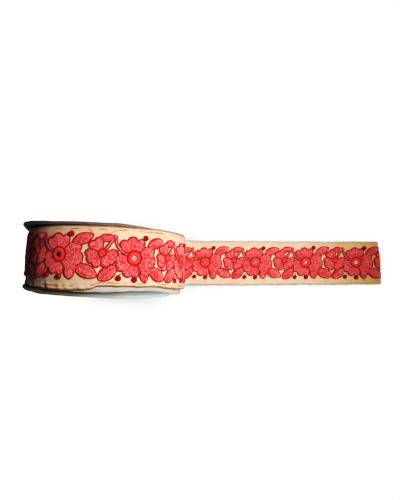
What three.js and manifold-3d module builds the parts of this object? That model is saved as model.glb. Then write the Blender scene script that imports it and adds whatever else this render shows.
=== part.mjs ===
import * as THREE from 'three';
import Module from 'manifold-3d';

// A roll of embroidered mirror trim on a spool of two thin card discs. It stands on the rims of
// the discs, and its loose end drops off the right side and runs out flat along the surface.
// Millimetres, +Z up, roll axis along Y. Angles round the roll are clockwise from its top.

const DEG = Math.PI / 180;
const GAP = 0.3;

// Trim
const TRIM_WIDTH = 50;
const TRIM_THICKNESS = 1.5;
const BAND_HALF = 19;
const MARGIN_SINK = 0.5;
const REPEAT = 59;
const FIRST_FLOWER_AT = -22;

// Roll and the way of its loose end
const ROLL_RADIUS = 74.1;
const TURN = 2.2;
const BORE_RADIUS = 15;
const PEEL_ANGLE = 97 * DEG;
const STEP_ANGLE = 0.5 * DEG;
const BEND_RADIUS = 13;
const TAIL_REACH = 301;
const ROUND_STEPS = 72;

// Card discs. The inner turns lie midway between them, and the outer turn a little to the back.
const DISC_RADIUS = 77;
const DISC_HOLE = 15;
const CARD = 1.6;
const FLAT_SPOT_DEPTH = 0.3;
const DISC_MIDDLE = -3.2;
const HUB_HALF_GAP = 25.6;
const HUB_RADIUS = 40;
const DISC_RINGS = [DISC_HOLE, HUB_RADIUS, 59, DISC_RADIUS];
const AXIS_HEIGHT = DISC_RADIUS - FLAT_SPOT_DEPTH;

// Stitching
const RELIEF = 1.2;
const MIRROR_RADIUS = 2.6;
const MIRROR_THICKNESS = 0.6;
const RING_RADIUS = 5.7;
const FIRST_REPEAT = -5;
const LAST_REPEAT = 8;

const wasm = await Module();
wasm.setup();

const material = {
  cloth: new THREE.MeshStandardMaterial({ color: '#e2bf8f', roughness: 0.9, metalness: 0 }),
  card: new THREE.MeshStandardMaterial({ color: '#a9bcc4', roughness: 0.75, metalness: 0 }),
  stitches: new THREE.MeshStandardMaterial({ color: '#e23b44', roughness: 0.6, metalness: 0 }),
  mirror: new THREE.MeshStandardMaterial({ color: '#d9dde0', roughness: 0.08, metalness: 1 }),
};

function spiralRadius(angle) {
  return ROLL_RADIUS - TURN * (PEEL_ANGLE - angle) / (2 * Math.PI);
}

// Distances along the trim are from the top of the roll, positive towards the loose end.
const TOP_RADIUS = spiralRadius(0);
const FACE_START_ANGLE = PEEL_ANGLE - 2 * Math.PI + STEP_ANGLE;
const FACE_START_AT = distanceAt(FACE_START_ANGLE);
const PEEL_AT = distanceAt(PEEL_ANGLE);
const PEEL_X = ROLL_RADIUS * Math.sin(PEEL_ANGLE);
const PEEL_Z = AXIS_HEIGHT + ROLL_RADIUS * Math.cos(PEEL_ANGLE);
const DROP_HEIGHT = PEEL_Z - TRIM_THICKNESS - BEND_RADIUS * (1 - Math.cos(PEEL_ANGLE));
const DROP_LENGTH = DROP_HEIGHT / Math.sin(PEEL_ANGLE);
const BEND_AT = PEEL_AT + DROP_LENGTH;
const BEND_X = PEEL_X + DROP_LENGTH * Math.cos(PEEL_ANGLE) + BEND_RADIUS * Math.sin(PEEL_ANGLE);
const FLOOR_AT = BEND_AT + BEND_RADIUS * PEEL_ANGLE;
const TAIL_END_AT = FLOOR_AT + TAIL_REACH - BEND_X;

function distanceAt(angle) {
  return TOP_RADIUS * angle + TURN * angle ** 2 / (4 * Math.PI);
}

function angleAt(s) {
  const growth = TURN / (2 * Math.PI);
  return (Math.sqrt(TOP_RADIUS ** 2 + 2 * growth * s) - TOP_RADIUS) / growth;
}

// The cloth's face at a distance along the trim, with its outward direction, as seen end on.
function facePoint(s) {
  if (s <= PEEL_AT) {
    const angle = angleAt(s);
    const radius = spiralRadius(angle);
    const out = { x: Math.sin(angle), z: Math.cos(angle) };
    return { x: radius * out.x, z: AXIS_HEIGHT + radius * out.z, out };
  }
  const drop = Math.min(s, BEND_AT) - PEEL_AT;
  if (s <= BEND_AT) {
    const out = { x: Math.sin(PEEL_ANGLE), z: Math.cos(PEEL_ANGLE) };
    return { x: PEEL_X + drop * out.z, z: PEEL_Z - drop * out.x, out };
  }
  const turned = Math.max(0, PEEL_ANGLE - (s - BEND_AT) / BEND_RADIUS);
  const out = { x: Math.sin(turned), z: Math.cos(turned) };
  const along = Math.max(0, s - FLOOR_AT);
  return {
    x: BEND_X + along - BEND_RADIUS * out.x,
    z: TRIM_THICKNESS + BEND_RADIUS * (1 - out.z),
    out,
  };
}

// The loose end lies three degrees off square to the roll, and eases into that once it has
// dropped clear of the discs.
const EASE_START = 150;
const EASE_END = 210;
const DRIFT_EASED = 3.8;
const DRIFT_SLOPE = 0.05;
function easeOff(s) {
  return THREE.MathUtils.smoothstep(s, EASE_START, EASE_END);
}
function drift(s) {
  return easeOff(s) * (DRIFT_EASED + DRIFT_SLOPE * Math.max(0, s - EASE_END));
}

// The plain margins sink a little beside the stitched band.
function marginSink(v) {
  const t = THREE.MathUtils.clamp((Math.abs(v) - BAND_HALF) / (TRIM_WIDTH / 2 - BAND_HALF), 0, 1);
  return -MARGIN_SINK * Math.sin(Math.PI * t) ** 2;
}

function trimPoint(s, v, h) {
  const { x, z, out } = facePoint(s);
  const rise = h + (h > 0 ? 0 : marginSink(v));
  return [x + out.x * rise, drift(s) + v, z + out.z * rise];
}

// Puckered stitching pulls the two edges in and out, once over two repeats. The back edge is
// pressed in by its disc until the loose end is clear of it.
const PUCKER = 0.8;
const CALM = 0.4;
const PRESSED_IN = 0.7;
function edgeHalves(s) {
  const wave = PUCKER * Math.cos(Math.PI * (s - FIRST_FLOWER_AT) / REPEAT);
  const calm = s > PEEL_AT ? CALM : 1;
  return {
    front: TRIM_WIDTH / 2 + wave * calm,
    back: TRIM_WIDTH / 2 + 0.5 * CALM * wave - PRESSED_IN * (1 - easeOff(s)),
  };
}

const COLUMNS = [-1, -0.87, -0.76, -0.38, 0, 0.38, 0.76, 0.87, 1];
function faceColumns(s) {
  const { front, back } = edgeHalves(s);
  return COLUMNS.map((share) => share * (share < 0 ? front : back));
}

function meshGeometry(points, triangles) {
  const geometry = new THREE.BufferGeometry();
  geometry.setAttribute('position', new THREE.Float32BufferAttribute(points.flat(), 3));
  geometry.setIndex(triangles);
  geometry.computeVertexNormals();
  return geometry;
}

// Rings of points in order, joined into a tube. A looped tube meets itself, and any other is
// capped by joining each ring's first half to its second.
function ringsGeometry(rings, looped) {
  const size = rings[0].length;
  const triangles = [];
  const quad = (a, b, c, d) => triangles.push(a, b, c, a, c, d);
  const pairs = looped ? rings.length : rings.length - 1;
  for (let i = 0; i < pairs; i += 1) {
    const next = ((i + 1) % rings.length) * size;
    for (let j = 0; j < size; j += 1) {
      const k = (j + 1) % size;
      quad(i * size + j, next + j, next + k, i * size + k);
    }
  }
  if (!looped) {
    const last = (rings.length - 1) * size;
    for (let j = 0; j < size / 2 - 1; j += 1) {
      quad(j, j + 1, size - 2 - j, size - 1 - j);
      quad(last + j, last + size - 1 - j, last + size - 2 - j, last + j + 1);
    }
  }
  return meshGeometry(rings.flat(), triangles);
}

// The side of the wound cloth: where the inner turns' edges lie, from the outer turn to the bore.
const SIDE_ROWS = [
  { radius: 71.4, back: 24.2, front: -25.6 },
  { radius: 70.6, back: 22.6, front: -27.9 },
  { radius: 56, back: 22.0, front: -28.3 },
  { radius: HUB_RADIUS, back: 22.1, front: -28.5 },
  { radius: BORE_RADIUS, back: 22.1, front: -28.5 },
];

function woundRoll() {
  const rings = [];
  for (let i = 0; i <= ROUND_STEPS; i += 1) {
    const angle = FACE_START_ANGLE + i * (PEEL_ANGLE - FACE_START_ANGLE) / ROUND_STEPS;
    const out = { x: Math.sin(angle), z: Math.cos(angle) };
    const side = (row, key) => [row.radius * out.x, row[key], AXIS_HEIGHT + row.radius * out.z];
    const face = faceColumns(distanceAt(angle)).map((v) => {
      const radius = spiralRadius(angle) + marginSink(v);
      return [radius * out.x, v, AXIS_HEIGHT + radius * out.z];
    });
    const back = SIDE_ROWS.map((row) => side(row, 'back'));
    const front = SIDE_ROWS.toReversed().map((row) => side(row, 'front'));
    rings.push([...face, ...back, ...front]);
  }
  return ringsGeometry(rings, true);
}

function looseEnd() {
  const start = PEEL_AT + STEP_ANGLE * ROLL_RADIUS + GAP;
  const stretches = [
    { from: start, to: BEND_AT, rows: 6 },
    { from: BEND_AT, to: FLOOR_AT, rows: 8 },
    { from: FLOOR_AT, to: TAIL_END_AT, rows: 18 },
  ];
  const rings = [];
  for (const { from, to, rows } of stretches) {
    const first = rings.length ? 1 : 0;
    for (let i = first; i <= rows; i += 1) {
      const s = from + (to - from) * i / rows;
      const columns = faceColumns(s);
      const top = columns.map((v) => trimPoint(s, v, 0));
      const under = columns.toReversed().map((v) => {
        const { x, z, out } = facePoint(s);
        return [x - out.x * TRIM_THICKNESS, drift(s) + v, z - out.z * TRIM_THICKNESS];
      });
      rings.push([...top, ...under]);
    }
  }
  return ringsGeometry(rings, false);
}

// How far each disc leans out at its rim: the back one most at its foot, the front one warped.
function backLean(angle) {
  return 2.8 + 1.15 * (1 - Math.cos(angle));
}
function frontLean(angle) {
  return 2.6 + 0.8 * Math.sin(2 * angle - 60 * DEG);
}

function cardDisc(side, lean) {
  const rings = [];
  for (let i = 0; i < ROUND_STEPS; i += 1) {
    const angle = i * 2 * Math.PI / ROUND_STEPS;
    const innerFace = DISC_RINGS.map((radius) => {
      const share = Math.max(0, (radius - HUB_RADIUS) / (DISC_RADIUS - HUB_RADIUS));
      const y = DISC_MIDDLE + side * (HUB_HALF_GAP + lean(angle) * share ** 1.5);
      const z = Math.max(-AXIS_HEIGHT, radius * Math.cos(angle));
      return [radius * Math.sin(angle), y, AXIS_HEIGHT + z];
    });
    const outerFace = innerFace.map(([x, y, z]) => [x, y + side * CARD, z]);
    const near = side > 0 ? innerFace : outerFace;
    const far = side > 0 ? outerFace : innerFace;
    rings.push([...near, ...far.toReversed()]);
  }
  return ringsGeometry(rings, true);
}

// A raised patch of stitching from rings of points, middle first. Each ring has the height of
// the stitches there, and the patch is closed underneath just above the cloth.
function patchGeometry(rings, hasHole, place) {
  const count = rings.at(-1).points.length;
  const points = [];
  const triangles = [];
  const row = (ring, height) => {
    const start = points.length;
    ring.points.forEach(([u, v]) => points.push(place(u, v, height)));
    return { start, single: ring.points.length === 1 };
  };
  const join = (a, b) => {
    for (let j = 0; j < count; j += 1) {
      const k = (j + 1) % count;
      if (a.single) triangles.push(a.start, b.start + j, b.start + k);
      else if (b.single) triangles.push(a.start + j, b.start, a.start + k);
      else triangles.push(a.start + j, b.start + j, b.start + k, a.start + j, b.start + k, a.start + k);
    }
  };
  const top = rings.map((ring) => row(ring, ring.height));
  const under = rings.toReversed().map((ring) => row(ring, GAP));
  const loop = [...top, ...under];
  for (let i = 0; i < loop.length - 1; i += 1) join(loop[i], loop[i + 1]);
  if (hasHole) join(loop.at(-1), loop[0]);
  return meshGeometry(points, triangles);
}

function circlePoints(radius, count) {
  return Array.from({ length: count }, (_, j) => {
    const angle = j * 2 * Math.PI / count;
    return [radius * Math.cos(angle), radius * Math.sin(angle)];
  });
}

// The large flower: a ring round its mirror, and petals of three lobes each. Distances u and v
// are from its middle, along the trim and towards the back.
const LARGE_FLOWER = { u: 0, length: 34.8, lobes: 9, lobeDepth: 2, petals: 3, notch: 2.4, turn: 52 * DEG };
function largeFlower(place) {
  const { length, lobes, lobeDepth, petals, notch, turn } = LARGE_FLOWER;
  const count = 2 * lobes;
  const outline = circlePoints(1, count).map(([x, y], j) => {
    const angle = j * 2 * Math.PI / count;
    const between = Math.max(0, Math.cos(petals * (angle - turn))) ** 4;
    const radius = length / 2 - (j % 2 ? 0 : lobeDepth) - notch * between;
    return [radius * x, radius * y];
  });
  const rings = [
    { points: circlePoints(MIRROR_RADIUS + GAP, count), height: RELIEF },
    { points: circlePoints(RING_RADIUS, count), height: RELIEF + GAP },
    { points: outline, height: RELIEF * 0.7 },
  ];
  return patchGeometry(rings, true, place);
}

const SMALL_FLOWER = { u: 34.5 - REPEAT, v: 2, length: 21.2, petals: 5, notch: 2.6, turn: 18 * DEG };
function smallFlower(place) {
  const { u, v, length, petals, notch, turn } = SMALL_FLOWER;
  const outline = circlePoints(1, 3 * petals).map(([x, y]) => {
    const reach = length / 2 - notch * (0.5 - 0.5 * Math.cos(petals * (Math.atan2(y, x) - turn)));
    return [u + reach * x, v + reach * y];
  });
  const rings = [
    { points: [[u, v]], height: RELIEF + 0.2 },
    { points: outline, height: RELIEF * 0.75 },
  ];
  return patchGeometry(rings, false, place);
}

const LEAVES_AND_STEMS = [
  { u: 17.6, v: 12.8, length: 19, width: 8.6, tilt: 25 },
  { u: 20.6, v: -12.5, length: 21, width: 10.4, tilt: -25 },
  { u: -19.6, v: -12.3, length: 20, width: 9.8, tilt: 40 },
  { u: -21.6, v: 13.6, length: 9.5, width: 6.2, tilt: 10 },
  { u: 9, v: -14.2, length: 10.5, width: 7.6, tilt: -76 },
  { u: -19.3, v: 10.8, length: 15, width: 2.6, tilt: 57 },
  { u: -13, v: 11.2, length: 13.5, width: 2.6, tilt: -54 },
];
function leaf({ u, v, length, width, tilt }, place) {
  const shape = [[0.5, 0], [0.22, 0.46], [-0.26, 0.44], [-0.5, 0], [-0.26, -0.44], [0.22, -0.46]];
  const cos = Math.cos(tilt * DEG);
  const sin = Math.sin(tilt * DEG);
  const outline = shape.map(([a, b]) => [
    u + a * length * cos - b * width * sin,
    v + a * length * sin + b * width * cos,
  ]);
  const rings = [
    { points: [[u, v]], height: RELIEF },
    { points: outline, height: RELIEF * 0.6 },
  ];
  return patchGeometry(rings, false, place);
}

function toManifold(geometry) {
  const { Manifold, Mesh } = wasm;
  const vertProperties = new Float32Array(geometry.getAttribute('position').array);
  const triVerts = new Uint32Array(geometry.getIndex().array);
  return new Manifold(new Mesh({ numProp: 3, vertProperties, triVerts }));
}

function fromManifold(solid) {
  const { vertProperties, triVerts, numProp } = solid.getMesh();
  const geometry = new THREE.BufferGeometry();
  const positions = new Float32Array(vertProperties.length / numProp * 3);
  for (let i = 0; i < positions.length; i += 1) {
    positions[i] = vertProperties[Math.floor(i / 3) * numProp + i % 3];
  }
  geometry.setAttribute('position', new THREE.BufferAttribute(positions, 3));
  geometry.setIndex(new THREE.BufferAttribute(new Uint32Array(triVerts), 1));
  geometry.computeVertexNormals();
  return geometry;
}

// Stitching shows from where the loose end parts from the turn under it to the trim's cut end.
const COVERED = 14.5;
const END_MARGIN = 0.6;
const LEAST_SHOWN = 3;
const STITCHED = { from: FACE_START_AT + COVERED, to: TAIL_END_AT - END_MARGIN };

// A block round one stretch of the trim, to cut its stitching away.
const BLOCK = { steps: 10, top: 4, bottom: -2 };
function stretchBlock(from, to) {
  const { steps, top, bottom } = BLOCK;
  const rings = [];
  for (let i = 0; i <= steps; i += 1) {
    const { x, z, out } = facePoint(from + (to - from) * i / steps);
    const corners = [[-1, top], [1, top], [1, bottom], [-1, bottom]];
    rings.push(corners.map(([side, h]) => [x + out.x * h, side * TRIM_WIDTH, z + out.z * h]));
  }
  return ringsGeometry(rings, false);
}

// One repeat of the stitching, centred on its large flower, and cut off where it stops showing.
function floralRepeat(at) {
  const place = (u, v, h) => trimPoint(at + u, v, h);
  const shows = ({ u, length }) => (
    at + u + length / 2 > STITCHED.from + LEAST_SHOWN && at + u - length / 2 < STITCHED.to - LEAST_SHOWN
  );
  const patches = [
    ...[LARGE_FLOWER].filter(shows).map(() => largeFlower(place)),
    ...[SMALL_FLOWER].filter(shows).map(() => smallFlower(place)),
    ...LEAVES_AND_STEMS.filter(shows).map((row) => leaf(row, place)),
  ];
  let joined = patches.map(toManifold).reduce((whole, patch) => whole.add(patch));
  if (at - REPEAT < STITCHED.from) {
    joined = joined.subtract(toManifold(stretchBlock(STITCHED.from - REPEAT, STITCHED.from)));
  }
  if (at + REPEAT > STITCHED.to) {
    joined = joined.subtract(toManifold(stretchBlock(STITCHED.to, STITCHED.to + REPEAT)));
  }
  return fromManifold(joined);
}

function mirror(at) {
  const place = (u, v, h) => trimPoint(at + u, v, h);
  const rings = [
    { points: [[0, 0]], height: GAP + MIRROR_THICKNESS },
    { points: circlePoints(MIRROR_RADIUS, 12), height: GAP + MIRROR_THICKNESS },
  ];
  return patchGeometry(rings, false, place);
}

function namedMesh(name, geometry, finish) {
  const mesh = new THREE.Mesh(geometry, finish);
  mesh.name = name;
  return mesh;
}

const group = new THREE.Group();
group.add(namedMesh('wound_roll', woundRoll(), material.cloth));
group.add(namedMesh('loose_end', looseEnd(), material.cloth));
group.add(namedMesh('card_disc_back', cardDisc(1, backLean), material.card));
group.add(namedMesh('card_disc_front', cardDisc(-1, frontLean), material.card));
for (let repeat = FIRST_REPEAT; repeat <= LAST_REPEAT; repeat += 1) {
  const number = String(repeat - FIRST_REPEAT + 1).padStart(2, '0');
  const at = FIRST_FLOWER_AT + repeat * REPEAT;
  group.add(namedMesh(`embroidery_${number}`, floralRepeat(at), material.stitches));
  if (at < TAIL_END_AT) group.add(namedMesh(`mirror_${number}`, mirror(at), material.mirror));
}

// The origin is under the middle of the whole, on the surface.
const box = new THREE.Box3().setFromObject(group);
const middle = box.getCenter(new THREE.Vector3());
group.position.set(-middle.x, -middle.y, -box.min.z);

export default group;
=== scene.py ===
import math
from functools import partial

import bmesh
import bpy
import numpy as np
from mathutils import Matrix, Vector


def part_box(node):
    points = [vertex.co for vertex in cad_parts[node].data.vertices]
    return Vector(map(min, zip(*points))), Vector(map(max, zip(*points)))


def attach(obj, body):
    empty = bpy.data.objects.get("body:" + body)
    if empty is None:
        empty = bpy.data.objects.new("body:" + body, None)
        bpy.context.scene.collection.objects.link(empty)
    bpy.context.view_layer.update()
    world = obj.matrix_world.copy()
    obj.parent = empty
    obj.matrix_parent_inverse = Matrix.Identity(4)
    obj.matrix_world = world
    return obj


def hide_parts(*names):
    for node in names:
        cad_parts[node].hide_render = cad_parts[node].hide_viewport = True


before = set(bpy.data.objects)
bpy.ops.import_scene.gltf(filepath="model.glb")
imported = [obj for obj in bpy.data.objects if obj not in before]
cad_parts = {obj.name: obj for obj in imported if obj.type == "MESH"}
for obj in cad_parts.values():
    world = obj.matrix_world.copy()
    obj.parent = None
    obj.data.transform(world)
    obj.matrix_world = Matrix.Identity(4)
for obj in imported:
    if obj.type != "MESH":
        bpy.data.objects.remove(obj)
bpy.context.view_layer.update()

mm = 0.001
scene = bpy.context.scene
rng = np.random.default_rng(7)


trim = {
    "faceHeight": 1.5,  # of the cloth's face over the surface that it lies on
    "thickness": 1.1,
    "halfWidth": 25.0,
    "bandHalf": 19.0,
    "creaseAt": 21.9,  # of its hem, from the line of the flowers
    "repeat": 59.0,
    "firstFlower": -22.0,  # along the trim from the top of the roll
    "rollRadius": 74.1,
    "turn": 2.2,  # from one turn out to the next
    "peelAngle": math.radians(97),
    "bendRadius": 13.0,
    "reach": 301.0,  # of the cut end from the roll's axis
    "easeStart": 150.0,  # where the loose end starts to drift off square to the axis
    "easeEnd": 210.0,
    "driftEased": 3.8,
    "driftSlope": 0.05,
    "covered": 14.5,  # of the outer turn, at its start under the loose end
    "endMargin": 0.6,
    "endSlant": 0.098,
}
spool = {
    "radius": 77.0,
    "hole": 15.0,
    "card": 1.6,
    "flatSpot": 0.3,  # where the rims stand on the floor
    "middle": -3.2,  # between the discs, from the line of the flowers
    "hubHalfGap": 25.6,
    "hubRadius": 40.0,  # within it the discs are flat
    "frontOfTurns": -28.5,
}
axisHeight = spool["radius"] - spool["flatSpot"]

discLow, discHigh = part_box("card_disc_back")
rollLow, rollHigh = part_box("wound_roll")
frameShift = np.array([(discLow[0] + discHigh[0]) / 2, rollLow[1] - spool["frontOfTurns"] * mm, 0.0])


def toFrame(points):
    return np.asarray(points) * mm + frameShift


# Seen end on, the trim winds out along a spiral, drops off it, bends and runs flat
growth = trim["turn"] / (2 * math.pi)
topRadius = trim["rollRadius"] - growth * trim["peelAngle"]


def distanceAt(angle):
    return topRadius * angle + growth * angle ** 2 / 2


peelAt = distanceAt(trim["peelAngle"])
peelSin, peelCos = math.sin(trim["peelAngle"]), math.cos(trim["peelAngle"])
peelX, peelZ = trim["rollRadius"] * peelSin, axisHeight + trim["rollRadius"] * peelCos
dropLength = (peelZ - trim["faceHeight"] - trim["bendRadius"] * (1 - peelCos)) / peelSin
bendAt = peelAt + dropLength
bendX = peelX + dropLength * peelCos + trim["bendRadius"] * peelSin
floorAt = bendAt + trim["bendRadius"] * trim["peelAngle"]
endAt = floorAt + trim["reach"] - bendX
faceStart = distanceAt(trim["peelAngle"] - 2 * math.pi)
stitchedFrom, stitchedTo = faceStart + trim["covered"], endAt - trim["endMargin"]


def eased(t):
    t = np.clip(t, 0, 1)
    return t * t * (3 - 2 * t)


def easeOff(s):
    return eased((s - trim["easeStart"]) / (trim["easeEnd"] - trim["easeStart"]))


def drift(s):
    return easeOff(s) * (trim["driftEased"] + trim["driftSlope"] * np.maximum(0, s - trim["easeEnd"]))


def trimPoints(s, v, h):
    # s along the trim, v towards the back and h out from its face
    inner = np.minimum(s, peelAt)
    angle = (np.sqrt(topRadius ** 2 + 2 * growth * inner) - topRadius) / growth
    turned = np.clip(trim["peelAngle"] - (s - bendAt) / trim["bendRadius"], 0, trim["peelAngle"])
    onRoll = s <= peelAt
    lean = np.where(onRoll, angle, turned)
    outX, outZ = np.sin(lean), np.cos(lean)
    radius = topRadius + growth * angle
    drop = np.clip(s, peelAt, bendAt) - peelAt
    along = np.maximum(0, s - floorAt)
    fallX, fallZ = peelX + drop * peelCos, peelZ - drop * peelSin
    bentX = bendX + along - trim["bendRadius"] * outX
    bentZ = trim["faceHeight"] + trim["bendRadius"] * (1 - outZ)
    x = np.where(onRoll, radius * outX, np.where(s <= bendAt, fallX, bentX))
    z = np.where(onRoll, axisHeight + radius * outZ, np.where(s <= bendAt, fallZ, bentZ))
    return toFrame(np.stack([x + h * outX, drift(s) + v, z + h * outZ], axis=-1))


def between(table, at):
    # Eased from each of the table's values to the next
    places, values = np.array(table, float).T
    i = np.clip(np.searchsorted(places, at) - 1, 0, len(places) - 2)
    return values[i] + (values[i + 1] - values[i]) * eased((at - places[i]) / (places[i + 1] - places[i]))


def ripple(s, waves):
    # The sum of waves, each with its length, size and start
    return sum(size * np.sin(2 * math.pi * s / length + start) for length, size, start in waves)


# Camera, level with the photograph's: nearly straight down, a little from the front
camera = {
    "place": (-0.0205, -0.01303, 0.45175),
    "turn": 2.8715,  # degrees about Z, then X, then Y, from looking straight down
    "tip": 3.6192,
    "lean": 0.1720,
    "focal": 382.58,  # in pixels of the picture
    "pictureHeight": 500,
    "sensor": 36.0,
    "clip": 0.01,
}


def makeCamera():
    data = bpy.data.cameras.new("camera")
    data.sensor_width = camera["sensor"]
    data.lens = camera["focal"] / camera["pictureHeight"] * camera["sensor"]
    data.clip_start = camera["clip"]
    item = bpy.data.objects.new("camera", data)
    scene.collection.objects.link(item)
    turned = Matrix.Identity(4)
    for axis, angle in (("Z", camera["turn"]), ("X", camera["tip"]), ("Y", camera["lean"])):
        turned = turned @ Matrix.Rotation(math.radians(angle), 4, axis)
    item.matrix_world = Matrix.Translation(camera["place"]) @ turned
    scene.camera = item


makeCamera()
print("camera set")


# Materials
def linear(text):
    # A colour's hex code as linear light, and opaque
    parts = [int(text[i:i + 2], 16) / 255 for i in (1, 3, 5)]
    return tuple(p / 12.92 if p <= 0.04045 else ((p + 0.055) / 1.055) ** 2.4 for p in parts) + (1.0,)


def setInputs(node, inputs):
    # In order or by their keys: numbers, hex codes, or other nodes' outputs
    for key, value in inputs.items() if isinstance(inputs, dict) else enumerate(inputs):
        if isinstance(value, bpy.types.NodeSocket):
            node.id_data.links.new(value, node.inputs[key])
        else:
            node.inputs[key].default_value = linear(value) if isinstance(value, str) else value


def addNode(tree, kind, inputs=(), **settings):
    node = tree.nodes.new("ShaderNode" + kind)
    for name, value in settings.items():
        setattr(node, name, value)
    setInputs(node, inputs)
    return node.outputs


def startMaterial(name, inputs):
    material = bpy.data.materials.new(name)
    material.use_nodes = True
    shader = material.node_tree.nodes["Principled BSDF"]
    setInputs(shader, inputs)
    return material, shader, partial(addNode, material.node_tree)


# Settings that many of the nodes share
smooth = {"interpolation_type": "SMOOTHSTEP"}
colours = {"data_type": "RGBA"}

# Ranges here are those of a pattern or a place, and then the shares that they give
cottonSilk = {
    "body": "#EAC6AA",
    "slub": "#D8AE86",
    # painted shade, brown, for the hem's crease and rolled edges
    "shadeBrown": "#8E5420",
    # painted shade, tan, for the cut end where the light falls off
    "endShade": "#E2B27A",
    "surface": {"Roughness": 0.82, "Sheen Weight": 0.2},
    "rib": 0.95,  # weft ribs across the trim, coarser than they are so that they show
    "ribTone": 0.09,
    "warp": 0.7,
    "slubLength": 26.0, "slubWidth": 1.3,
    "slubbed": (0.36, 0.68, 0.0, 0.6),
    "patch": 17.0,
    "patched": (0.4, 0.7, 0.0, 0.55),
    # over which the painted shade of the cut end comes in
    "endShadeRange": ((endAt - 105) * mm, (endAt + 8) * mm, 0.0, 0.95),
    # The next six are for the painted shade along crease and edges: its fade off the roll, the crease, its patches,
    # the edge band and the ribs' stripes in it
    "onRoll": (130 * mm, 190 * mm, 1.0, 0.3),
    "creaseRange": (0.0, 1.0 * mm, 1.0, 0.0),
    "shadePatchSize": 9.0,
    "patchyShade": (0.42, 0.62, 0.0, 0.75),
    "edgeShade": (23.2 * mm, 24.2 * mm),
    "ribbed": (-0.6, 0.6, 0.55, 1.0),
    "warpHeight": 0.6,  # of the ribs'
    "weaveHeight": 0.35,  # of the slubs'
    "bump": {"Strength": 0.5, "Distance": 0.16 * mm},
}


def makeCottonSilk(name, body, slub):
    # Slubbed cotton and silk, plain woven and pressed: matt and warm, with darker streaks
    # along it and fine ribs across it. Painted shade darkens it to brown in patches along its hem's
    # crease and its rolled edges, most on the roll, and to tan at its cut end, where the light falls off
    look = cottonSilk
    material, shader, add = startMaterial(name, look["surface"])
    plan = add("UVMap", uv_map="trimPlan")[0]
    along, across = add("SeparateXYZ", (plan,))[:2]
    waves = []
    for way, pitch in ((along, look["rib"]), (across, look["warp"])):
        phase = add("Math", (way, 2 * math.pi / (pitch * mm)), operation="MULTIPLY")[0]
        waves.append(add("Math", (phase,), operation="SINE")[0])
    ribs, warps = waves

    scale = (1 / (look["slubLength"] * mm), 1 / (look["slubWidth"] * mm), 1)
    streak = add("Mapping", {0: plan, "Scale": scale})[0]
    slubs = add("TexNoise", {0: streak, "Scale": 1.0, "Detail": 3.0})[0]
    patches = add("TexNoise", {0: plan, "Scale": 1 / (look["patch"] * mm), "Detail": 2.0})[0]
    uneven = add("MapRange", (slubs, *look["slubbed"]), **smooth)[0]
    clouded = add("MapRange", (patches, *look["patched"]), **smooth)[0]
    share = add("Math", (uneven, clouded), operation="MAXIMUM")[0]
    share = add("Math", (ribs, look["ribTone"], share), operation="MULTIPLY_ADD")[0]
    colour = add("Mix", {0: share, 6: body, 7: slub}, **colours)[2]
    # Painted shade: the cloth darkens to tan towards its cut end, where the light falls off
    endShade = add("MapRange", (along, *look["endShadeRange"]), **smooth)[0]
    colour = add("Mix", {0: endShade, 6: colour, 7: look["endShade"]}, **colours)[2]

    # Painted shade: a brown line in patches along the hem's crease, and along the rolled edges striped by the ribs,
    # faded off the roll
    fromLine = add("Math", (across,), operation="ABSOLUTE")[0]
    crease = add("Math", (fromLine, trim["creaseAt"] * mm), operation="SUBTRACT")[0]
    crease = add("Math", (crease,), operation="ABSOLUTE")[0]
    nearCrease = add("MapRange", (crease, *look["creaseRange"]), **smooth)[0]
    shadePatches = add("TexNoise", {0: plan, "Scale": 1 / (look["shadePatchSize"] * mm), "Detail": 3.0})[0]
    patchyShade = add("MapRange", (shadePatches, *look["patchyShade"]), **smooth)[0]
    creased = add("Math", (nearCrease, patchyShade), operation="MULTIPLY")[0]
    atEdge = add("MapRange", (fromLine, *look["edgeShade"]), **smooth)[0]
    ribbed = add("MapRange", (ribs, *look["ribbed"]), **smooth)[0]
    edgeShade = add("Math", (atEdge, ribbed), operation="MULTIPLY")[0]
    shadeShare = add("Math", (creased, edgeShade), operation="MAXIMUM")[0]
    onRoll = add("MapRange", (along, *look["onRoll"]), **smooth)[0]
    shadeShare = add("Math", (shadeShare, onRoll), operation="MULTIPLY")[0]
    colour = add("Mix", {0: shadeShare, 6: colour, 7: look["shadeBrown"]}, **colours)[2]

    weave = add("Math", (warps, look["warpHeight"], ribs), operation="MULTIPLY_ADD")[0]
    height = add("Math", (weave, look["weaveHeight"], slubs), operation="MULTIPLY_ADD")[0]
    bump = add("Bump", {"Height": height, **look["bump"]})[0]
    setInputs(shader, {"Base Color": colour, "Normal": bump})
    return material


# Each board has, after its core, a brown for painted shade on the side of a disc away from the lamp
boards = {
    "pale": {"paper": "#94A8B2", "mottle": "#A9AAA4", "core": "#BDBAB2", "paintedShade": "#645743", "scuff": "#C6C4BC"},
    "dark": {"paper": "#B4A898", "mottle": "#AA9F91", "core": "#6E6860", "paintedShade": "#74675A", "scuff": "#C2BAAE"},
}
boardFace = {
    "surface": {"Roughness": 0.55, "Specular IOR Level": 0.4},
    "cloud": 21.0,
    "mottled": (0.35, 0.65),
    "fibre": 1.6,
    "scuffed": (0.35, 0.6),
    # the cloudy patches of the painted shade
    "patchyShade": (0.3, 0.5, 0.75, 1.0),
    "bump": {"Strength": 0.25, "Distance": 0.1 * mm},
}


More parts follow.
